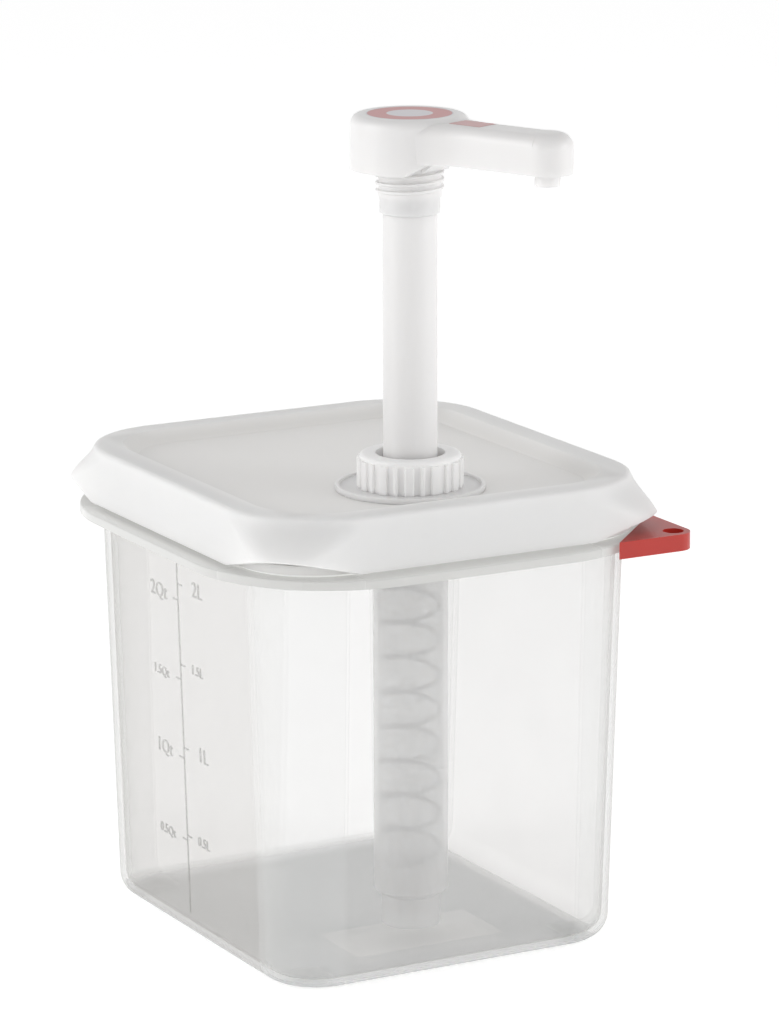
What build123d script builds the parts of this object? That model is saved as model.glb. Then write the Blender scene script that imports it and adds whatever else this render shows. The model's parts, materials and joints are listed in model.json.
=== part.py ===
from build123d import *
import math
import os

# Condiment pump dispenser: a one-sixth gastronorm tub with a press-on lid, and a
# hand pump clamped through the lid.  Millimetres, +Z up.  The origin is the centre
# of the tub's flat base.  X runs across the tub, Y along it.

# ---------------------------------------------------------------- tub
rim_x = 162.0                # gastronorm 1/6 rim, across
rim_y = 176.0                # gastronorm 1/6 rim, along
rim_corner = 50.0            # plan radius of the rim's corners
rim_z = 142.0                # height of the rim's top face
rim_edge = 3.0               # height of the turned-down edge
rim_plate = 2.0              # thickness of the flat flange
rim_lip = 1.8                # thickness of the turned-down edge
rim_width = 12.0             # from the rim's edge in to the body
body_corner = 25.0           # plan radius of the body under the rim
body_draft = 1.7             # degrees, each wall
wall = 2.2
floor = 2.6
base_round = 8.0             # round between walls and base

# ---------------------------------------------------------------- lid
lid_top_inset = 8.0          # rim edge to the lid's top edge
lid_foot_inset = 5.0         # rim edge to the lid's lower edge
lid_top_corner = 34.0
lid_foot_corner = 17.0       # tighter than the top, so each corner flares out
lid_flare_height = 5.2       # skirt's lower edge to where its corners are tightest
lid_flare_sweep = 0.75       # under 1 makes the sweep out to the corners hollow
lid_gap = 1.3                # rim's top face to the skirt's lower edge
lid_height = 19.0            # rim's top face to the lid's top
lid_wall = 1.8
lid_round = 1.8              # round along the lid's top edge
border = 9.5                 # width of the raised border
recess = 3.8                 # how far the middle panel lies below the border
flare_start = 22.9           # square corner of the skirt's foot to where it starts to rise
flare_slope = 20.8           # degrees, rise of the skirt's edge towards a corner
plug_gap = 0.6               # plug wall to tub wall
plug_wall = 1.5
plug_depth = 5.0             # below the rim's top face
seal_thick = 2.4
seal_gap = 0.1               # seal to rim, unsqueezed
rib_wall = 1.3

# ---------------------------------------------------------------- pump, in plan
pump_x = 0.0
pump_y = -36.0

# ---------------------------------------------------------------- pump body
stem_dia = 18.0
stem_wall = 2.6
slide_fit = 0.05             # radial running clearance
guide_wall = 2.0             # stem to cylinder bore
cylinder_wall = 1.5
inlet_step = 1.1             # radial step from the bore in to the inlet's outside
inlet_wall = 1.6
inlet_clear = 4.6            # tub floor to the open end of the inlet
inlet_length = 10.3
shoulder = 2.0               # height of the cone between inlet and cylinder
cylinder_floor = 2.0
thread_wall = 2.7            # bore to the root of the clamping thread
thread_depth = 0.9
thread_pitch = 2.5
flange_width = 6.4           # cylinder's flange, under the lid
flange_thick = 2.4
gasket_thick = 0.8
hole_clear = 0.5             # radial, clamping thread in the lid's hole
disc_border = 7.15           # width of the clamp disc that shows round the nut
disc_thick = 1.0
disc_lip = 0.8               # raised edge of the clamp disc
disc_lip_width = 1.4

# ---------------------------------------------------------------- retaining nut
nut_wall = 2.85              # ribs included
nut_height = 11.2
nut_ribs = 12                # wide grip ribs; a narrow one stands between each pair
rib_depth = 0.9
nut_fit = 0.3                # radial, nut on clamping thread
nut_grip_height = 5.0        # height of the part that rides on the clamping thread
washer_thick = 0.8
guide_flange = 1.0

# ---------------------------------------------------------------- guide and lock neck
guide_length = 16.0
neck_wall = 1.0
neck_gap = 2.0               # nut to neck with the pump pressed down
neck_length = 14.8
neck_plain = 5.6             # smooth part below the lock thread
lock_step = 0.4              # neck to the root of its thread
lock_depth = 0.85
lock_pitch = 2.5
lock_turns = 3.0
lock_fit = 0.3               # radial, lock thread in the nut

# ---------------------------------------------------------------- head
head_dia = 39.2
head_height = 18.0
head_round = 3.0
head_wall = 2.4
head_roof = 2.6              # thickness of the cap's top
head_bore = 8.0              # passage up through the neck
head_draft = 0.9             # degrees
boss_border = 1.6            # boss beyond the neck that it sits on
spigot_dia = 14.0
spigot_length = 8.0
arm_angle = -68.0            # degrees from +X
arm_reach = 56.6             # head axis to nozzle axis
arm_width = 16.6
arm_under = 3.9              # arm's underside above the head's lower edge
arm_top_drop = 1.1           # arm's top below the head's top
arm_round = 4.0              # round along the arm's upper edges
arm_blend = 30.0             # plan radius where the arm's sides meet the head
arch_gap = 0.4               # neck to where the skirt rises towards the arm
arch_run = 5.0               # length of that rise
knob_top_drop = 0.7          # end knob's top below the head's top
knob_round = 5.0
arm_wall = 4.3               # each side of the channel
channel_height = 5.6
plate_thick = 2.0            # plate that closes the arm from below
plate_ledge = 1.5
plate_inset = 9.0            # end of the skirt's rise to the plate
plate_proud = 0.3            # plate below the arm
plate_gap = 2.0              # plate to nozzle
nozzle_bore = 5.0
nozzle_wall = 1.65
nozzle_drop = 4.0            # below the arm
nozzle_seat = 4.0            # length inside the arm
nozzle_step = 0.6            # radial step in to the part inside the arm
nozzle_root = 0.5            # height of the cone where the nozzle meets the arm
nozzle_flare = 0.25          # radial growth of that cone
nozzle_round = 0.4
badge_border = 5.3           # head's side to the badge
badge_thick = 0.6
label_length = 12.4
label_thick = 0.4
label_sink = 0.3             # depth of the label's pocket
label_gap = 0.2              # head's side to the label

# ---------------------------------------------------------------- stroke and spring
stroke = 78.0
wire = 1.4
spring_gap = 0.7             # radial, coil to bore
spring_pitch = 12.0
spring_front = 42.3          # a height at which the wire crosses the side named below
spring_front_angle = -118.5  # degrees from +X

# ---------------------------------------------------------------- piston and valves
piston_length = 11.0
piston_play = 0.15           # radial, piston in the bore
seal_width = 3.0
follower_thick = 1.2
foot_ball = 11.0
foot_seat_drop = 6.0         # inlet's shoulder to the bottom of the foot valve's seat
foot_seat_hole = 7.6
top_ball = 8.0
top_seat_hole = 6.0
seat_thick = 3.0             # seat below the foot ball
top_seat_thick = 4.0         # seat below the upper ball
ball_play = 0.6              # radial, ball in its chamber
stop_gap = 0.3               # lifted ball to its stop
ball_lift = 3.0
cage_height = 7.0
cage_slot = 4.0
cage_bar = 2.0               # height of the upper ball's stop
piston_spigot = 8.0          # piston's plug inside the stem
seal_groove = 2.4            # depth of the piston seal's groove
foot_ball_play = 0.7         # radial, foot ball in its chamber
oring = 1.8

# ---------------------------------------------------------------- rim clip
clip_reach = 1.0             # clip's outer faces in from the square corner of the rim
clip_grip = 1.9              # clip over the rim's rounded corner, along the diagonal
clip_jaw = 1.35              # thickness above and below the rim
clip_fit = 0.1               # flat clearance on the rim
clip_edge_gap = 0.3
clip_corner = 6.0
clip_hole = 7.0
clip_hole_inset = 9.5        # square corner of the rim to the hole, along the diagonal

# ---------------------------------------------------------------- widths that follow
stem_r = stem_dia / 2
stem_bore = stem_r - stem_wall
bore = stem_dia + 2 * guide_wall
cylinder_r = bore / 2 + cylinder_wall
inlet_dia = bore - 2 * inlet_step
spring_dia = bore - 2 * spring_gap
thread_core = bore + 2 * thread_wall
thread_crest = thread_core + 2 * thread_depth
flange_dia = thread_crest + 2 * flange_width
nut_dia = thread_crest + 2 * (nut_fit + nut_wall)
disc_dia = nut_dia + 2 * disc_border
neck_dia = stem_dia + 2 * neck_wall
lock_core = neck_dia + 2 * lock_step
lock_crest = lock_core + 2 * lock_depth
boss_dia = lock_core + 2 * boss_border
arch_start = lock_core / 2 + arch_gap
channel_width = arm_width - 2 * arm_wall
plate_width = channel_width + 2 * plate_ledge
nozzle_dia = nozzle_bore + 2 * nozzle_wall
badge_dia = head_dia - 2 * badge_border
label_width = arm_width - 2 * arm_round
clip_leg = math.sqrt(2) * (rim_corner * (math.sqrt(2) - 1) + clip_grip) - 2 * clip_reach

# ---------------------------------------------------------------- heights that follow
lid_top = rim_z + lid_height
lid_foot = rim_z + lid_gap
flare_z = lid_foot + lid_flare_height
panel_top = lid_top - recess
panel_under = panel_top - lid_wall
border_under = lid_top - lid_wall
seal_low = rim_z + seal_gap
seal_high = seal_low + seal_thick
inlet_z = floor + inlet_clear
shoulder_z = inlet_z + inlet_length
cylinder_z = shoulder_z + shoulder
bore_floor = cylinder_z + cylinder_floor
flange_z = panel_under - gasket_thick - flange_thick
disc_z = panel_top
nut_z = disc_z + disc_thick
nut_top = nut_z + nut_height
thread_top = nut_z + nut_grip_height
washer_z = thread_top + guide_flange
hub_z = washer_z + washer_thick
neck_z = nut_top + stroke + neck_gap
lock_z = neck_z + neck_plain
head_z = neck_z + neck_length
head_top = head_z + head_height
guide_z = thread_top - guide_length
piston_top = guide_z - 1.0
piston_z = piston_top - piston_length
follower_z = piston_z - follower_thick
spring_z = bore_floor + cage_height
stem_z = piston_top
arm_z = head_z + arm_under
arm_top = head_top - arm_top_drop
knob_top = head_top - knob_top_drop
channel_z = arm_z + plate_thick
nozzle_z = arm_z - nozzle_drop
here = Pos(pump_x, pump_y, 0)
arm_turn = Rot(0, 0, arm_angle)
label_start = head_dia / 2 + label_gap
foot_seat_z = shoulder_z - foot_seat_drop
piston_core = bore / 2 - seal_groove
seal_z = piston_z + (piston_length - seal_width) / 2
foot_ball_z = foot_seat_z + seat_thick + math.sqrt((foot_ball / 2) ** 2 - (foot_seat_hole / 2) ** 2)
top_ball_z = piston_z + top_seat_thick + math.sqrt((top_ball / 2) ** 2 - (top_seat_hole / 2) ** 2)
plate_start = arch_start + arch_run + plate_inset
plate_end = arm_reach - nozzle_dia / 2 - nozzle_flare - plate_gap
oring_z = lock_z + 1.2
stem_end_z = lock_z + 4.0


# ---------------------------------------------------------------- helpers
def rounded(width, length, corner, z, height):
    """Straight block with a rounded rectangle as its plan, from z up."""
    return extrude(Pos(0, 0, z) * RectangleRounded(width, length, corner), height)


def rim_block(inset, corner, z, height):
    """Block whose plan is the rim's outline moved in by inset."""
    return rounded(rim_x - 2 * inset, rim_y - 2 * inset, corner, z, height)


def disc(radius, z, height):
    """Cylinder about the pump's axis, before it is placed."""
    return Pos(0, 0, z) * Cylinder(radius, height, align=(Align.CENTER, Align.CENTER, Align.MIN))


def tube(outer, inner, z, height):
    return disc(outer, z, height) - disc(inner, z, height)


def body_block(inset, top, bottom):
    """The tub's tapered body moved in by inset, between two heights."""
    width = rim_x - 2 * rim_width - 2 * inset
    length = rim_y - 2 * rim_width - 2 * inset
    corner = body_corner - inset
    return extrude(Pos(0, 0, top) * RectangleRounded(width, length, corner), bottom - top, taper=body_draft)


def helix_ridge(core, crest, pitch, turns, z, foot, tip):
    """Screw-thread ridge with a trapezoid section, sunk a little into its core."""
    sink = 0.2
    path = Pos(0, 0, z) * Helix(pitch=pitch, height=pitch * turns, radius=core)
    section_plane = Plane(origin=path @ 0, x_dir=(1, 0, 0), z_dir=path % 0)
    section = section_plane * Polygon(
        (-sink, -foot / 2), (crest - core, -tip / 2), (crest - core, tip / 2), (-sink, foot / 2), align=None
    )
    return sweep(section, path=path, is_frenet=True)


# ---------------------------------------------------------------- tub
def make_container():
    body = body_block(0, rim_z, 0)
    body = fillet(body.faces().sort_by(Axis.Z)[0].edges(), base_round)
    plate = rim_block(0, rim_corner, rim_z - rim_plate, rim_plate)
    edge = rim_block(0, rim_corner, rim_z - rim_edge, rim_edge)
    edge -= rim_block(rim_lip, rim_corner - rim_lip, rim_z - rim_edge, rim_edge)
    cavity = body_block(wall, rim_z, floor)
    cavity = fillet(cavity.faces().sort_by(Axis.Z)[0].edges(), base_round - wall)
    tub = body + plate + edge - cavity
    outer_edges = tub.faces().sort_by(Axis.Z)[-1].outer_wire().edges()
    return fillet(outer_edges, 0.6)


# ---------------------------------------------------------------- lid and its seal
def lid_section(top_share, z, inset):
    """One rounded outline of the lid's skirt: top_share is 1 at the top, 0 at the foot."""
    edge_inset = lid_foot_inset + (lid_top_inset - lid_foot_inset) * top_share + inset
    width = rim_x - 2 * edge_inset
    length = rim_y - 2 * edge_inset
    corner_share = max(0.0, (z - flare_z) / (lid_top - flare_z)) ** lid_flare_sweep
    corner = lid_foot_corner + (lid_top_corner - lid_foot_corner) * corner_share - inset
    return Pos(0, 0, z) * RectangleRounded(width, length, corner)


def lid_shell(inset, top):
    """The skirt's loft, moved in by inset and closed at the height top."""
    heights = [lid_foot - 2.0, flare_z, (flare_z + lid_top) / 2, top]
    sections = []
    for z in heights:
        share = (z - lid_foot) / (lid_top - lid_foot)
        sections.append(lid_section(share, z, inset))
    return loft(sections)


def ring_block(outer_inset, outer_corner, width, z, height):
    outer = rim_block(outer_inset, outer_corner, z, height)
    return outer - rim_block(outer_inset + width, outer_corner - width, z, height)


mouth_inset = rim_width + wall                      # rim edge to the mouth's wall
plug_inset = mouth_inset + plug_gap
plug_corner = body_corner - wall - plug_gap
seal_outer = plug_inset - 4.3                       # rim edge to the seal's outer edge
seal_corner = plug_corner + plug_inset - seal_outer


def make_lid():
    outer = lid_shell(0, lid_top)
    outer = fillet(outer.faces().sort_by(Axis.Z)[-1].edges(), lid_round)
    lid = outer - lid_shell(lid_wall, border_under)
    panel_inset = lid_top_inset + border
    pan_corner = lid_top_corner - border
    pan = rim_block(panel_inset - lid_wall, pan_corner + lid_wall, panel_under, lid_top - panel_under - 0.8)
    well = extrude(
        Pos(0, 0, lid_top) * RectangleRounded(
            rim_x - 2 * panel_inset, rim_y - 2 * panel_inset, pan_corner
        ), -recess, taper=55
    )
    lid = lid + pan - well
    lid = lid - rim_block(-20, 20, lid_foot - 10, 10)
    half_diagonal = (rim_x + rim_y - 4 * lid_foot_inset) / 2 / math.sqrt(2)
    for corner_angle in (45, 135, 225, 315):
        wedge = Box(60, 200, 40, align=(Align.MIN, Align.CENTER, Align.MAX))
        turn = Rot(0, 0, corner_angle)
        start = Pos(half_diagonal - flare_start, 0, lid_foot)
        lid = lid - turn * start * Rot(0, -flare_slope, 0) * wedge
    web_z = seal_high
    plug = ring_block(plug_inset, plug_corner, plug_wall, rim_z - plug_depth, border_under + 0.6 - rim_z + plug_depth)
    web_outer = seal_outer - 0.2 - rib_wall
    web_width = plug_inset + plug_wall - web_outer
    web_corner = seal_corner + 0.2 + rib_wall
    web = ring_block(web_outer, web_corner, web_width, web_z, 1.4)
    rib = ring_block(web_outer, web_corner, rib_wall, rim_z + 0.9, web_z - rim_z - 0.9)
    lid = lid + plug + web + rib
    hole = here * disc(thread_crest / 2 + hole_clear, panel_under - 1, lid_wall + 2)
    return lid - hole


def make_lid_seal():
    return ring_block(seal_outer, seal_corner, 4.2, seal_low, seal_thick)


# ---------------------------------------------------------------- clamped pump body
def make_clamp_disc():
    ring = tube(disc_dia / 2, thread_crest / 2 + hole_clear, disc_z, disc_thick)
    lip = tube(disc_dia / 2, disc_dia / 2 - disc_lip_width, disc_z, disc_thick + disc_lip)
    ring = ring + lip
    rim_edges = ring.faces().sort_by(Axis.Z)[-1].edges()
    return here * fillet(rim_edges, 0.35)


def make_cylinder_gasket():
    inner = thread_crest / 2 + hole_clear
    return here * tube(flange_dia / 2 - 0.6, inner, panel_under - gasket_thick, gasket_thick)


def make_pump_cylinder():
    inlet_r = inlet_dia / 2
    body = disc(inlet_r, inlet_z, inlet_length)
    body += Pos(0, 0, shoulder_z) * Cone(
        inlet_r, cylinder_r, shoulder, align=(Align.CENTER, Align.CENTER, Align.MIN)
    )
    body += disc(cylinder_r, cylinder_z, thread_top - cylinder_z)
    body += disc(flange_dia / 2, flange_z, flange_thick)
    body += disc(thread_core / 2, flange_z, thread_top - flange_z)
    body += helix_ridge(
        thread_core / 2, thread_crest / 2, thread_pitch,
        (nut_grip_height + disc_thick - 1.4) / thread_pitch, nut_z - disc_thick + 1.0, 1.4, 0.6
    )
    body -= disc(bore / 2, bore_floor, thread_top)
    body -= disc(inlet_r - inlet_wall, inlet_z - 1, bore_floor - inlet_z + 2)
    return here * body


def make_stem_guide():
    guide = disc(bore / 2 - 0.02, guide_z, guide_length)
    guide += disc(thread_core / 2 - 0.2, thread_top, guide_flange)
    guide -= disc(stem_r + slide_fit, guide_z - 1, guide_length + 3)
    groove = tube(stem_r + 1.2, stem_r, guide_z + 4, 2.0)
    return here * (guide - groove)


def make_wiper_ring():
    return here * tube(stem_r + 1.2, stem_r + slide_fit, guide_z + 4, 2.0)


# ---------------------------------------------------------------- nut
def make_nut_washer():
    return here * tube(thread_core / 2 - 0.2, neck_dia / 2 + 1.0, washer_z, washer_thick)


def make_retaining_nut():
    outer = disc(nut_dia / 2 - rib_depth, nut_z, nut_height)
    outer = fillet(outer.edges().sort_by(Axis.Z)[-1:], 1.2)
    rib_height = nut_height - 1.6
    for k in range(2 * nut_ribs):
        wide = k % 2 == 0
        rib_width = 3.2 if wide else 1.5
        rib_box = Box(4, rib_width, rib_height, align=(Align.MAX, Align.CENTER, Align.MIN))
        rib = Pos(nut_dia / 2, 0, nut_z) * rib_box
        rib = fillet(rib.faces().sort_by(Axis.X)[-1].edges().filter_by(Axis.Z), 0.6)
        outer += Rot(0, 0, 180.0 * k / nut_ribs) * rib
    nut = outer & disc(nut_dia / 2, nut_z, nut_height)
    nut -= disc(thread_crest / 2 + nut_fit, nut_z - 1, hub_z - nut_z + 1)
    nut -= disc(lock_crest / 2 + lock_fit, nut_z - 1, nut_height + 3)
    return here * nut


# ---------------------------------------------------------------- plunger
def make_stem_tube():
    stem = tube(stem_r, stem_bore, stem_z, stem_end_z - stem_z)
    groove = tube(stem_r + 1, stem_r - oring, oring_z - oring / 2, oring)
    return here * (stem - groove)


def make_lock_neck():
    neck = disc(neck_dia / 2, neck_z, neck_length)
    neck = fillet(neck.edges().sort_by(Axis.Z)[0], 0.8)
    neck += disc(lock_core / 2, lock_z, head_z - lock_z)
    neck += disc(spigot_dia / 2, head_z, spigot_length)
    neck += helix_ridge(
        lock_core / 2, lock_crest / 2, lock_pitch, lock_turns, lock_z + 0.9, 1.5, 0.7
    )
    neck -= disc(stem_r, neck_z - 1, stem_end_z - neck_z + 1)
    neck -= disc(head_bore / 2, neck_z, neck_length + spigot_length + 1)
    return here * neck


def make_stem_oring():
    return here * Pos(0, 0, oring_z) * Torus(stem_r - oring / 2, oring / 2 - 0.02)


def arm_block(width, start, end, z, height):
    """Straight bar along the arm, between two distances from the head's axis."""
    bar = Box(end - start, width, height, align=(Align.MIN, Align.CENTER, Align.MIN))
    return arm_turn * Pos(start, 0, z) * bar


def make_pump_head():
    # round cap
    cap = extrude(Pos(0, 0, head_z) * Circle(head_dia / 2), head_height, taper=head_draft)
    cap = fillet(cap.edges().sort_by(Axis.Z)[-1], head_round)
    # arm, blended into the cap in plan, and the knob at its end
    plan = Circle(head_dia / 2 - 0.3) + Pos(arm_reach / 2, 0) * Rectangle(arm_reach, arm_width)
    inner_corners = plan.vertices().filter_by(lambda v: head_dia / 4 < v.X < head_dia / 2)
    plan = fillet(inner_corners, arm_blend)
    arm = extrude(Pos(0, 0, arm_z) * plan, arm_top - arm_z)
    long_edges = arm.faces().sort_by(Axis.Z)[-1].edges().filter_by(lambda e: e.center().X < arm_reach - 0.1)
    arm = fillet(long_edges, arm_round)
    knob = Pos(arm_reach, 0, 0) * disc(arm_width / 2, arm_z, knob_top - arm_z)
    knob = fillet(knob.edges().sort_by(Axis.Z)[-1], knob_round)
    head = cap + arm_turn * (arm + knob)
    # hollow under the cap, round a central boss, and the rise of the skirt under the arm
    hollow = tube(head_dia / 2 - head_wall, boss_dia / 2, head_z - 1, head_height - head_roof + 1)
    hollow -= arm_block(channel_width + 2 * head_wall, 0, head_dia, head_z - 2, head_height + 4)
    head -= hollow
    profile = Polygon(
        (arch_start, -1), (arch_start, 0), (arch_start + arch_run, arm_under),
        (2 * head_dia, arm_under), (2 * head_dia, -1), align=None
    )
    arch = extrude(Plane.XZ * profile, head_dia, both=True)
    head -= arm_turn * Pos(0, 0, head_z) * arch
    # passage for the sauce
    head -= disc(spigot_dia / 2, head_z - 1, spigot_length + 1)
    head -= disc(head_bore / 2, head_z, channel_z + channel_height - head_z)
    head -= arm_block(channel_width, 0, arm_reach + channel_width / 2, channel_z, channel_height)
    # seats for the plate under the arm, the nozzle, the badge and the label
    head -= arm_block(plate_width, plate_start, plate_end, arm_z - 1, plate_thick + 1)
    head -= arm_turn * Pos(arm_reach, 0, 0) * disc(nozzle_dia / 2 - nozzle_step, arm_z - 1, nozzle_seat + 1)
    head -= disc(badge_dia / 2, head_top - badge_thick, badge_thick + 1)
    head -= arm_block(label_width, label_start, label_start + label_length, arm_top - label_sink, head_height)
    return here * head


def make_spout_plate():
    plate = arm_block(plate_width, plate_start, plate_end, arm_z - plate_proud, plate_thick + plate_proud)
    return here * fillet(plate.edges().group_by(Axis.Z)[0], plate_proud * 0.8)


def make_nozzle_tip():
    outer = nozzle_dia / 2
    tip = disc(outer, nozzle_z, nozzle_drop)
    tip = fillet(tip.edges().sort_by(Axis.Z)[0], nozzle_round)
    tip += Pos(0, 0, arm_z - nozzle_root) * Cone(
        outer, outer + nozzle_flare, nozzle_root, align=(Align.CENTER, Align.CENTER, Align.MIN)
    )
    tip += disc(outer - nozzle_step, arm_z, nozzle_seat)
    tip -= disc(nozzle_bore / 2, nozzle_z - 1, nozzle_drop + nozzle_seat + 2)
    return here * arm_turn * Pos(arm_reach, 0, 0) * tip


def make_head_badge():
    return here * disc(badge_dia / 2, head_top - badge_thick, badge_thick)


def make_arm_label():
    end = label_start + label_length
    return here * arm_block(label_width, label_start, end, arm_top - label_sink, label_thick)


# ---------------------------------------------------------------- piston, spring and valves
def make_piston():
    body = disc(bore / 2 - piston_play, piston_z, piston_length)
    body += disc(stem_bore, piston_top, piston_spigot)
    body -= tube(bore / 2, piston_core, seal_z, seal_width)
    body -= disc(top_seat_hole / 2, piston_z - 1, piston_length + piston_spigot)
    body -= disc(top_ball / 2 + ball_play, piston_z + top_seat_thick, piston_length + piston_spigot)
    return here * body


def make_piston_seal():
    return here * tube(bore / 2 - 0.03, piston_core, seal_z, seal_width)


def make_discharge_ball():
    return here * Pos(0, 0, top_ball_z) * Sphere(top_ball / 2)


def make_discharge_cage():
    z = top_ball_z + top_ball / 2 + ball_lift + stop_gap
    outer = top_ball / 2 + ball_play
    cage = tube(outer, outer - 1.8, z, cage_bar)
    bar = Box(2 * outer - 1.0, cage_bar * 0.7, cage_bar, align=(Align.CENTER, Align.CENTER, Align.MIN))
    return here * (cage + Pos(0, 0, z) * bar)


def make_spring_follower():
    return here * tube(bore / 2 - 0.3, top_ball * 0.75, follower_z, follower_thick)


def make_return_spring():
    """Coil of even pitch, ground flat at both ends."""
    start_z = spring_z - spring_pitch
    turns = (follower_z - start_z + spring_pitch) / spring_pitch
    path = Helix(pitch=spring_pitch, height=spring_pitch * turns, radius=(spring_dia - wire) / 2)
    section = Plane(origin=path @ 0, x_dir=(1, 0, 0), z_dir=path % 0) * Circle(wire / 2)
    coil = sweep(section, path=path, is_frenet=True)
    phase = spring_front_angle - 360.0 * (spring_front - start_z) / spring_pitch
    coil = Pos(0, 0, start_z) * Rot(0, 0, phase) * coil
    return here * (coil & disc(bore / 2, spring_z, follower_z - spring_z))


def make_foot_valve_seat():
    body = disc(inlet_dia / 2 - inlet_wall, foot_seat_z, bore_floor - foot_seat_z)
    body -= disc(foot_seat_hole / 2, foot_seat_z - 1, seat_thick + 2)
    body -= disc(foot_ball / 2 + foot_ball_play, foot_seat_z + seat_thick, bore_floor - foot_seat_z)
    return here * body


def make_foot_ball():
    return here * Pos(0, 0, foot_ball_z) * Sphere(foot_ball / 2)


def make_foot_valve_cage():
    """Cup over the foot ball; a cross of slots lets the sauce through its roof."""
    stop_z = foot_ball_z + foot_ball / 2 + ball_lift + stop_gap
    chamber = foot_ball / 2 + foot_ball_play
    cage = disc(bore / 2 - 0.02, bore_floor, cage_height)
    cage -= disc(chamber, bore_floor - 1, stop_z - bore_floor + 1)
    for angle in (0, 90):
        slot = Box(2 * chamber, cage_slot, cage_height + 2, align=(Align.CENTER, Align.CENTER, Align.MIN))
        cage -= Pos(0, 0, bore_floor - 1) * Rot(0, 0, angle) * slot
    return here * cage


# ---------------------------------------------------------------- rim clip
def make_rim_clip():
    edge_x = rim_x / 2 - clip_reach
    edge_y = rim_y / 2 - clip_reach
    plan = Polygon(
        (edge_x - clip_leg, -edge_y), (edge_x, -edge_y), (edge_x, -edge_y + clip_leg), align=None
    )
    tip = plan.vertices().sort_by(lambda v: v.X - v.Y)[-1]
    plan = fillet(tip, clip_corner)
    low = rim_z - rim_edge - clip_jaw
    clip = extrude(Pos(0, 0, low) * plan, rim_edge + 2 * clip_jaw)
    slot_z = rim_z - rim_edge - clip_fit
    slot = rim_block(-clip_edge_gap, rim_corner + clip_edge_gap, slot_z, rim_edge + 2 * clip_fit)
    clip = clip - slot
    diagonal = clip_hole_inset / math.sqrt(2)
    hole = Pos(rim_x / 2 - diagonal, -rim_y / 2 + diagonal, 0) * disc(clip_hole / 2, low - 1, 20)
    return clip - hole


PARTS = {
    "container": make_container,
    "rim_clip": make_rim_clip,
    "lid": make_lid,
    "lid_seal": make_lid_seal,
    "clamp_disc": make_clamp_disc,
    "cylinder_gasket": make_cylinder_gasket,
    "pump_cylinder": make_pump_cylinder,
    "stem_guide": make_stem_guide,
    "wiper_ring": make_wiper_ring,
    "nut_washer": make_nut_washer,
    "retaining_nut": make_retaining_nut,
    "foot_valve_seat": make_foot_valve_seat,
    "foot_valve_ball": make_foot_ball,
    "foot_valve_cage": make_foot_valve_cage,
    "return_spring": make_return_spring,
    "spring_follower": make_spring_follower,
    "piston": make_piston,
    "piston_seal": make_piston_seal,
    "discharge_ball": make_discharge_ball,
    "discharge_cage": make_discharge_cage,
    "stem_tube": make_stem_tube,
    "stem_oring": make_stem_oring,
    "lock_neck": make_lock_neck,
    "pump_head": make_pump_head,
    "spout_plate": make_spout_plate,
    "nozzle_tip": make_nozzle_tip,
    "head_badge": make_head_badge,
    "arm_label": make_arm_label,
}

if __name__ == "__main__":
    os.makedirs("parts", exist_ok=True)
    for name, make in PARTS.items():
        piece = make()
        export_step(piece, f"parts/{name}.step")
        print(name, len(piece.solids()), round(piece.volume / 1000, 2), "cm3")
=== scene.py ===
# %% [markdown]
# # A condiment pump dispenser
# The real thing is a see-through plastic tub with a milky lid, and a white hand pump
# clamped through that lid.  The parts come from the frame as finished solids.  Here they
# get their plastics, the tub gets the raised marks that its mould leaves on it, and a
# plain white studio is built round them.

# %% Load the frame
import json
import math
import bpy
from mathutils import Matrix, Vector


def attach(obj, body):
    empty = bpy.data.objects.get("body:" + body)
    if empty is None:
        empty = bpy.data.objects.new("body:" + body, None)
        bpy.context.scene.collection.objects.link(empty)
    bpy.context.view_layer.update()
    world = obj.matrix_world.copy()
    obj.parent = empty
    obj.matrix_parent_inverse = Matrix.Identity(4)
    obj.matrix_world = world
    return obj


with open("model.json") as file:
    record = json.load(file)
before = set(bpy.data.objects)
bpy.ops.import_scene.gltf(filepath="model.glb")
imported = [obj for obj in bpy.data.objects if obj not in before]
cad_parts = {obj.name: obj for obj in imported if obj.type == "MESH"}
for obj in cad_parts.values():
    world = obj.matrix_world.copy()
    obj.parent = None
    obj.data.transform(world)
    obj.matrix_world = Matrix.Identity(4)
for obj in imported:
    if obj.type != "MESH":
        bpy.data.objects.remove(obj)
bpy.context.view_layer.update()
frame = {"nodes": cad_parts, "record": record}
nodes = frame["nodes"]
MM = 0.001
print("parts:", len(nodes))

# %% [markdown]
# ## The camera
# A long lens stands well back and a little above, looking at one of the tub's corners, so
# both of its long walls and the top of the lid show.  The point it aims at, the direction
# back to it and its distance are given, and its place is worked out from those three.

# %% Camera
AIM = Vector((-0.24, -21.99, 146.1)) * MM
DISTANCE = 1600 * MM
BACK = Vector((-0.46558, -0.85442, 0.23063)).normalized()
ROLL = math.radians(0.163)
LENS = 168.48

level = Vector((0, 0, 1)).cross(BACK).normalized()
upright = BACK.cross(level)
right = level * math.cos(ROLL) - upright * math.sin(ROLL)
up = upright * math.cos(ROLL) + level * math.sin(ROLL)
camera_data = bpy.data.cameras.new("camera")
camera_data.sensor_fit = "VERTICAL"
camera_data.sensor_height = 36.0
camera_data.lens = LENS
camera_data.clip_start = 0.05
camera_data.clip_end = 80
camera = bpy.data.objects.new("camera", camera_data)
bpy.context.scene.collection.objects.link(camera)
place = AIM + BACK * DISTANCE
camera.matrix_world = Matrix((
    (right.x, up.x, BACK.x, place.x),
    (right.y, up.y, BACK.y, place.y),
    (right.z, up.z, BACK.z, place.z),
    (0, 0, 0, 1),
))
bpy.context.scene.camera = camera
print("camera at", [round(v, 3) for v in place])

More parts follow.
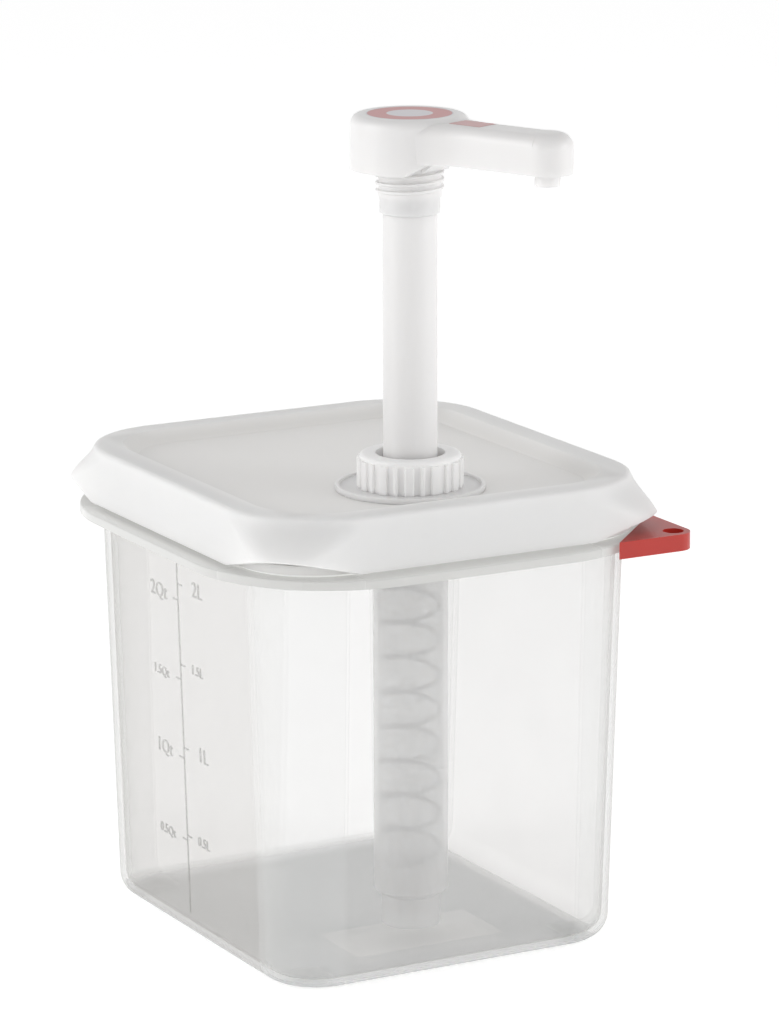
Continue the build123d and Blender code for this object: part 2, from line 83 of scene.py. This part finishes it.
# %% [markdown]
# ## Shader sums
# A pattern is easier to read as a sum than as a web of nodes.  One small class stands for
# a value on its way through the web, and adding or multiplying two of them puts the right
# Math node in.  The other way round must work too, as in 1 - mask, so the class has the
# reflected forms.

# %% A value in a web of nodes
class Value:
    """A number on its way through a web of nodes."""

    def __init__(self, web, socket):
        self.web = web
        self.socket = socket

    def math(self, kind, *others):
        return self.web.node("ShaderNodeMath", {"operation": kind}, [self, *others])

    def __add__(self, other):
        return self.math("ADD", other)

    def __sub__(self, other):
        return self.math("SUBTRACT", other)

    def __rsub__(self, other):
        return self.math("MULTIPLY", -1) + other

    def __mul__(self, other):
        return self.math("MULTIPLY", other)

    def __rtruediv__(self, other):
        return self.math("POWER", -1) * other

    __radd__ = __add__
    __rmul__ = __mul__

    def above(self, level, softness):
        """0 below the level and 1 above it, with a soft step."""
        sockets = {0: self, 1: level - softness, 2: level + softness}
        return self.web.node("ShaderNodeMapRange", {"interpolation_type": "SMOOTHSTEP"}, sockets)


def larger(a, b):
    return a.math("MAXIMUM", b)


print("sums ready")

# %% [markdown]
# ## Webs and finishes
# A web is a node tree with the shader that it feeds.  Its one method for a new node takes
# the node's type, its settings, and the values or links of its sockets.  A finish is the
# web of one material, with the few patterns that moulded plastic needs.

# %% A web of nodes
class Web:
    """A node tree under construction, with the shader that it feeds."""

    def __init__(self, tree, shader, coordinates):
        self.tree = tree
        self.shader = tree.nodes[shader]
        self.place = self.node("ShaderNodeTexCoord", {}, {}, coordinates)

    def node(self, kind, settings, sockets, output=0):
        made = self.tree.nodes.new(kind)
        for name, value in settings.items():
            setattr(made, name, value)
        pairs = sockets.items() if isinstance(sockets, dict) else enumerate(sockets)
        for name, value in pairs:
            if isinstance(value, Value):
                self.tree.links.new(value.socket, made.inputs[name])
            else:
                made.inputs[name].default_value = value
        return Value(self, made.outputs[output])

    def axes(self):
        """The place's x, y and z."""
        parts = self.node("ShaderNodeSeparateXYZ", {}, [self.place])
        outputs = parts.socket.node.outputs
        return [Value(self, outputs[i]) for i in range(3)]

    def set(self, **sockets):
        """Sets values that are the same all over."""
        for name, value in sockets.items():
            self.shader.inputs[name.replace("_", " ")].default_value = value

    def feed(self, **sockets):
        """Links values that vary."""
        for name, value in sockets.items():
            self.tree.links.new(value.socket, self.shader.inputs[name.replace("_", " ")])


print("webs ready")

# %% A finish
class Finish(Web):
    """A material under construction."""

    def __init__(self, name, **settings):
        self.material = bpy.data.materials.new(name)
        self.material.use_nodes = True
        super().__init__(self.material.node_tree, "Principled BSDF", "Object")
        self.set(**settings)

    def noise(self, size_mm, detail=2.0):
        """Cloudy noise about 0.5, with lumps of roughly that size."""
        sockets = {"Vector": self.place, "Scale": 1 / (size_mm * MM), "Detail": detail}
        return self.node("ShaderNodeTexNoise", {}, sockets)

    def blend(self, mask, low, high):
        """The first colour where the mask is 0 and the second where it is 1."""
        return self.node("ShaderNodeMix", {"data_type": "RGBA"}, {0: mask, 6: low, 7: high}, 2)

    def tint(self, mask, low, high):
        """The same for two plain colours of three numbers."""
        return self.blend(mask, (*low, 1), (*high, 1))

    def bump(self, height, depth_mm, strength):
        sockets = {"Height": height, "Distance": depth_mm * MM, "Strength": strength}
        self.feed(Normal=self.node("ShaderNodeBump", {}, sockets))


print("finishes ready")

# %% [markdown]
# ## The studio
# White plastic is hard to show, because a white room leaves it no edges.  Here the sweep
# is so bright that it has no edge and hardly a shadow itself.  The sky is lighter at the
# sides than overhead, so upright faces stay light while the lid's flat top falls to a
# soft grey.  It is also a little darker on the camera's side, which gives the faces that
# look that way their shape.

# %% Floor
FLOOR_GLOW = 0.41

bpy.ops.object.select_all(action="DESELECT")
bpy.ops.mesh.primitive_plane_add(size=40, location=(0, 0, -0.0002))
floor = bpy.context.object
floor.name = "studio_floor"
paper = Finish("studio_paper", Base_Color=(0.93, 0.93, 0.93, 1), Roughness=0.9)
paper.set(Emission_Color=(1, 1, 1, 1), Emission_Strength=FLOOR_GLOW)
floor.data.materials.append(paper.material)
print("floor glows at", FLOOR_GLOW)

# %% Sky
SKY_TOP = 0.50
SKY_SIDE = 1.0
FRONT_SHADE = 0.2

world = bpy.data.worlds.new("studio_sky")
bpy.context.scene.world = world
world.use_nodes = True
sky = Web(world.node_tree, "Background", "Generated")
climb = {"Value": sky.axes()[2], "From Max": 0.9, "To Min": SKY_SIDE, "To Max": SKY_TOP}
overhead = sky.node("ShaderNodeMapRange", {}, climb)
toward = sky.node("ShaderNodeVectorMath", {"operation": "DOT_PRODUCT"}, [sky.place, BACK], "Value")
patch = {"Value": toward, "From Min": 0.1, "From Max": 0.9}
patch.update({"To Min": 1.0, "To Max": 1 - FRONT_SHADE})
front = sky.node("ShaderNodeMapRange", {"interpolation_type": "SMOOTHSTEP"}, patch)
sky.feed(Strength=overhead * front)
sky.set(Color=(1, 1, 1, 1))
print("sky from", SKY_TOP, "overhead to", SKY_SIDE, "at the sides")

# %% [markdown]
# ## Lamps
# Sky light alone leaves plastic flat.  Two large soft lamps, one on each side, put a
# broad light on the pump's tube and along the lid's skirt.  They are square and big, so
# that their shadows have no line.  A plain view transform keeps the floor a clean white.

# %% Lamps
TUB_MIDDLE = Vector((0, 0, 0.13))


def soft_lamp(name, place, size, power):
    """A square soft lamp that faces the tub."""
    data = bpy.data.lights.new(name, "AREA")
    data.size = size
    data.energy = power
    lamp = bpy.data.objects.new(name, data)
    bpy.context.scene.collection.objects.link(lamp)
    lamp.location = place
    lamp.rotation_mode = "QUATERNION"
    lamp.rotation_quaternion = (Vector(place) - TUB_MIDDLE).to_track_quat("Z", "Y")


soft_lamp("lamp_left", (-1.6, 0.35, 0.7), 1.1, 9)
soft_lamp("lamp_right", (1.3, -1.2, 0.7), 1.1, 8)
bpy.context.scene.view_settings.view_transform = "Standard"
print("lamps:", len(bpy.data.lights))

# %% [markdown]
# ## Where the tub's plastic changes
# Thin polypropylene is clear on its flat polished walls and frosted where the mould was
# left matt: on the four rounded corners and the floor.  A smooth panel lies on the floor
# under the pump, and the wall with the volume marks is a little hazier.  Each of these is
# a mask, 1 inside and 0 outside, made from the place on the tub.

# %% Tub masks
CORNER_X = 44 * MM
CORNER_Y = 51 * MM
FLOOR_TOP = 3.2 * MM
FLOOR_SIDE = 57 * MM
PANEL = Vector((28, 14)) * MM
PUMP = Vector((0, -36, 0)) * MM
RIM_LOW = 137.2 * MM
MARKED_WALL = -62 * MM
CRISP = 0.3 * MM

tub = Finish("clear_polypropylene", IOR=1.49, Emission_Strength=1.0)
x, y, z = tub.axes()
corner = x.math("ABSOLUTE").above(CORNER_X, CRISP) * y.math("ABSOLUTE").above(CORNER_Y, CRISP)
base = (1 - z.above(FLOOR_TOP, 0.5 * MM)) * (1 - x.above(FLOOR_SIDE, CRISP))
rim = z.above(RIM_LOW, 0.4 * MM)
panel = 1 - x.math("ABSOLUTE").above(PANEL.x, CRISP)
panel = base * panel * (1 - (y - PUMP.y).math("ABSOLUTE").above(PANEL.y, CRISP))
marked = 1 - x.above(MARKED_WALL, CRISP)
witness = 4 * corner * (1 - corner)
cloud = tub.noise(30)
print("tub masks ready")

# %% [markdown]
# ## Tub plastic
# Real refraction would need many bounces of light, so the plastic is a white film here:
# the more of it a line of sight goes through, the more the film covers.  That is why it
# covers more where the wall turns edge-on.  The film is thin on the walls, thicker on the
# corners and the floor, and thickest on the rim.  The rim also has a painted glow, an
# emission that lightens the shadow under the lid's skirt.

# %% Tub film
facing = tub.node("ShaderNodeLayerWeight", {}, {"Blend": 0.5}, "Facing")
depth = 1 / larger(1 - facing, 0.06)
film = 0.046 + 0.02 * cloud + 0.06 * corner + 0.10 * base + 0.6 * rim
film = film + 0.04 * marked + 0.05 * witness
cover = 1 - (1 - film).math("POWER", depth)

polished = tub.tint(cloud, (0.40, 0.38, 0.355), (0.44, 0.42, 0.395))
frosted = tub.tint(cloud, (0.60, 0.60, 0.585), (0.65, 0.65, 0.635))
dense = tub.tint(rim, (0.57, 0.58, 0.58), (0.44, 0.44, 0.43))
dense = tub.blend(panel, dense, (0.70, 0.70, 0.69, 1))
# The rim's emission colour is a painted glow that lightens the shadow under the lid's skirt.
tub.feed(
    Base_Color=tub.blend(larger(base, rim), tub.blend(corner, polished, frosted), dense),
    Emission_Color=tub.tint(rim, (0, 0, 0), (0.24, 0.24, 0.235)),
    Roughness=0.16 + 0.05 * cloud + 0.3 * corner + 0.2 * base,
    Alpha=cover,
)
tub.bump(cloud, 0.15, 0.3)
print("tub plastic ready")

# %% [markdown]
# ## Milky and white plastics
# The lid and the pump's cylinder are milky: light goes in and comes out a little way off,
# which is subsurface scattering.  The pump's own parts are a denser white with a fine
# satin skin.  The nut's copy of that white is lighter, as painted light that lifts the shade
# that falls on it.  A slow cloud of tone keeps each from looking like paint.  The seal has
# a faint painted glow, an emission that lightens the shadow under the lid.

# %% White plastics
def moulded(name, colour, shade, roughness, milky, glow_mm):
    """Satin moulded plastic with a slow change of tone and a fine skin."""
    made = Finish(name, IOR=1.5, Subsurface_Weight=milky, Subsurface_Scale=glow_mm * MM)
    made.set(Subsurface_Radius=(1.0, 0.97, 0.94))
    slow = made.noise(22)
    fine = made.noise(0.6, 1.5)
    made.colour = made.tint(slow, shade, colour)
    made.feed(Base_Color=made.colour, Roughness=roughness + 0.08 * slow)
    made.bump(fine, 0.012, 0.4)
    return made


lid_plastic = moulded("milky_lid", (0.89, 0.88, 0.865), (0.86, 0.85, 0.835), 0.42, 0.7, 6)
pump_plastic = moulded("pump_white", (0.81, 0.80, 0.795), (0.78, 0.77, 0.765), 0.3, 0.5, 4)
# The nut's lighter white is painted light: it lifts the shade that falls on the nut.
nut_painted_lighter = moulded("nut_painted_lighter_white", (0.96, 0.95, 0.94), (0.94, 0.93, 0.92), 0.35, 0.5, 4)
seal_with_painted_glow = moulded("silicone_seal", (0.82, 0.83, 0.83), (0.76, 0.77, 0.77), 0.6, 0.6, 4)
# Painted glow: an emission that lightens the seal in the shadow under the lid.
seal_with_painted_glow.set(Emission_Color=(0.3, 0.3, 0.29, 1), Emission_Strength=1.0)
cylinder_plastic = moulded("milky_cylinder", (0.93, 0.93, 0.93), (0.89, 0.89, 0.89), 0.38, 0.5, 4)
cylinder_plastic.set(Alpha=0.49)
clip_plastic = moulded("red_clip", (0.50, 0.030, 0.020), (0.42, 0.024, 0.016), 0.3, 0.2, 1)
print("moulded plastics: 6")

# %% [markdown]
# ## The middle of the lid
# Over the tub's open mouth there is only dark air under the milky lid, so its sunk middle
# looks duller than its border and skirt.  That shade is painted: a soft-edged mask over the
# mouth mixes a darker grey into the lid's colour.

# %% Painted shade over the mouth
MOUTH_X = 62 * MM
MOUTH_Y = 69 * MM
LID_TOP = 150 * MM
MOUTH_EDGE = 3 * MM

lx, ly, lz = lid_plastic.axes()
over_x = 1 - lx.math("ABSOLUTE").above(MOUTH_X, MOUTH_EDGE)
over_y = 1 - ly.math("ABSOLUTE").above(MOUTH_Y, MOUTH_EDGE)
over_mouth = over_x * over_y * lz.above(LID_TOP, 1 * MM)
# Painted shade: a darker grey is mixed in over the mouth, where the lid gets less light.
painted_shade = lid_plastic.blend(over_mouth, lid_plastic.colour, (0.77, 0.76, 0.745, 1))
lid_plastic.feed(Base_Color=painted_shade)
print("lid greyer over the mouth")

# %% [markdown]
# ## Steel
# The return spring and the two valve balls are stainless: grey and shiny, with small
# patches that are duller where they rub.

# %% Steel
steel = Finish("stainless_steel", Metallic=1.0)
wear = steel.noise(3, 3.0)
steel.feed(
    Base_Color=steel.tint(wear, (0.30, 0.31, 0.32), (0.42, 0.43, 0.44)),
    Roughness=0.25 + 0.2 * wear,
)
print("steel ready")

# %% [markdown]
# ## Print
# The badge on the pump's head is a red ring printed round a pale middle, and the label on
# its arm is a plain red strip.  The ring is a band of distances from the pump's axis, so
# it needs no picture.

# %% Print
RING_OUT = 13.9 * MM
RING_IN = 7.6 * MM
PRINT_EDGE = 0.15 * MM
PALE_FILM = (0.66, 0.64, 0.67, 1)


def printed(name, ring, light, dark):
    """Red print on pale film; as a ring about the pump's axis, or all over."""
    made = Finish(name)
    speckle = made.noise(1.2)
    ink = made.tint(speckle, dark, light)
    if ring:
        offset = made.node("ShaderNodeVectorMath", {"operation": "SUBTRACT"}, [made.place, PUMP])
        flat = made.node("ShaderNodeVectorMath", {"operation": "MULTIPLY"}, [offset, (1, 1, 0)])
        radius = made.node("ShaderNodeVectorMath", {"operation": "LENGTH"}, [flat], "Value")
        band = radius.above(RING_IN, PRINT_EDGE) * (1 - radius.above(RING_OUT, PRINT_EDGE))
        ink = made.blend(band, PALE_FILM, ink)
    made.feed(Base_Color=ink, Roughness=0.3 + 0.1 * speckle)
    return made


badge_print = printed("badge_print", True, (0.58, 0.24, 0.24), (0.52, 0.20, 0.20))
label_print = printed("label_print", False, (0.62, 0.36, 0.36), (0.56, 0.30, 0.30))
print("badge ring", RING_IN, "to", RING_OUT)

# %% [markdown]
# ## Dress the parts
# Every solid from the frame has the right shape already, so it keeps its mesh and only
# its material changes.  The finish follows the part's material slot, except on the badge
# and the nut, which have their own.

# %% Assign the finishes
finish_of = {
    "clear_plastic": tub,
    "lid_plastic": lid_plastic,
    "white_plastic": pump_plastic,
    "cylinder_plastic": cylinder_plastic,
    "red_plastic": clip_plastic,
    "seal_rubber": seal_with_painted_glow,
    "steel": steel,
    "label_print": label_print,
}
special = {"head_badge": badge_print, "retaining_nut": nut_painted_lighter}
slot_of = {part["node"]: part["material_slot"] for part in frame["record"]["subparts"]}
for name, part in nodes.items():
    chosen = special.get(name, finish_of[slot_of[name]])
    part.data.materials.clear()
    part.data.materials.append(chosen.material)
print("dressed", len(nodes), "parts")

# %% [markdown]
# ## Volume marks
# The tub's narrow wall carries a raised scale: one upright line, short ticks to the right
# for litres and to the left for quarts, and a number beside each.  A mould cuts them as
# thin ribs, so each is a real rib here, set on the wall's slope.

# %% Where the marks go
WALL_TOP = -69 * MM
WALL_TOP_Z = 142 * MM
DRAFT = math.radians(1.7)


def on_wall(y, z):
    """The point of the marked wall's outside at that place, in metres."""
    return Vector((WALL_TOP + (WALL_TOP_Z - z) * math.tan(DRAFT), y, z))


wall_turn = Matrix((
    (0, -math.sin(DRAFT), -math.cos(DRAFT)),
    (-1, 0, 0),
    (0, math.cos(DRAFT), -math.sin(DRAFT)),
)).to_4x4()


def rest_on_wall(piece, y, z):
    """Moves a flat piece from its own plane to the wall and leaves its object at the origin."""
    piece.data.transform(Matrix.Translation(on_wall(y, z)) @ wall_turn)
    piece.matrix_world = Matrix.Identity(4)
    return piece


print("wall at mid height", on_wall(0, 0.07))

# %% [markdown]
# ## Ribs and numbers
# A rib starts as a cube that is stretched to a thin bar, and a bevel eases its edges.  A
# number starts as text.  It is given a depth, made a mesh, and only then laid on the wall.

# %% Ribs and numbers
RIB = 0.25 * MM
FIGURE_HEIGHT = 0.69
THINNER = -0.012


def straight_rib(y, z, width, height):
    """A thin bar on the wall, width along it and height up it, with its edges eased."""
    bpy.ops.object.select_all(action="DESELECT")
    bpy.ops.mesh.primitive_cube_add(size=1)
    piece = bpy.context.object
    piece.data.transform(Matrix.Diagonal((width, height, 2 * RIB, 1)))
    bevel = piece.modifiers.new("eased", "BEVEL")
    bevel.width = RIB * 0.4
    bevel.segments = 2
    bpy.ops.object.modifier_apply(modifier=bevel.name)
    return rest_on_wall(piece, y, z)


def number(body, y, z, height):
    """Raised figures whose lower left corner is at that place on the wall."""
    bpy.ops.object.select_all(action="DESELECT")
    bpy.ops.object.text_add()
    piece = bpy.context.object
    piece.data.body = body
    piece.data.size = height / FIGURE_HEIGHT
    piece.data.extrude = RIB
    piece.data.offset = THINNER * height
    piece.data.space_character = 1.05
    piece.data.resolution_u = 4
    bpy.ops.object.convert(target="MESH")
    return rest_on_wall(bpy.context.object, y, z)


print("ribs stand", RIB, "off the wall")

# %% [markdown]
# ## The scale
# Each row says what the number is, how high its tick stands and how tall its figures are,
# in millimetres.  The halves have smaller figures, which start nearer the line.

# %% The scale
LITRES = [("2L", 125, 5.2), ("1.5L", 97.1, 3.3), ("1L", 68.1, 5.0), ("0.5L", 37.2, 3.3)]
QUARTS = [("2Qt", 119.2, 5.0), ("1.5Qt", 91.8, 3.2), ("1Qt", 64.3, 4.8), ("0.5Qt", 35.5, 3.2)]
TICK = 3.2 * MM
TICK_THICK = 0.5 * MM
WHOLE_START, WHOLE_DROP = -10.4 * MM, 2.0
HALF_START, HALF_DROP = -7.8 * MM, 1.3
QUART_START, QUART_DROP = 21 * MM, 1.7

marks = [straight_rib(0.3 * MM, 71 * MM, 0.45 * MM, 122 * MM)]
for text, height, size in LITRES:
    marks.append(straight_rib(-1.5 * MM, height * MM, TICK, TICK_THICK))
    half = "." in text
    start, drop = (HALF_START, HALF_DROP) if half else (WHOLE_START, WHOLE_DROP)
    marks.append(number(text, start, (height - drop) * MM, size * MM))
for text, height, size in QUARTS:
    marks.append(straight_rib(2.3 * MM, height * MM, TICK, TICK_THICK))
    marks.append(number(text, QUART_START, (height - QUART_DROP) * MM, size * MM))
bpy.ops.object.select_all(action="DESELECT")
for piece in marks:
    piece.select_set(True)
bpy.context.view_layer.objects.active = marks[0]
bpy.ops.object.join()
scale_marks = bpy.context.object
scale_marks.name = "scale_marks"
print("scale marks:", len(scale_marks.data.polygons), "faces")

# %% [markdown]
# ## Finish for the marks
# The ribs are the tub's own plastic, only thicker and turned to the light, so they look
# like a faint grey line and not like ink.  They move with the tub.

# %% Finish for the marks
mark_plastic = moulded("mark_plastic", (0.50, 0.50, 0.49), (0.44, 0.44, 0.43), 0.35, 0.2, 1)
mark_plastic.set(Alpha=0.3)
scale_marks.data.materials.clear()
scale_marks.data.materials.append(mark_plastic.material)
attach(scale_marks, "container")
print("marks ride on the container")
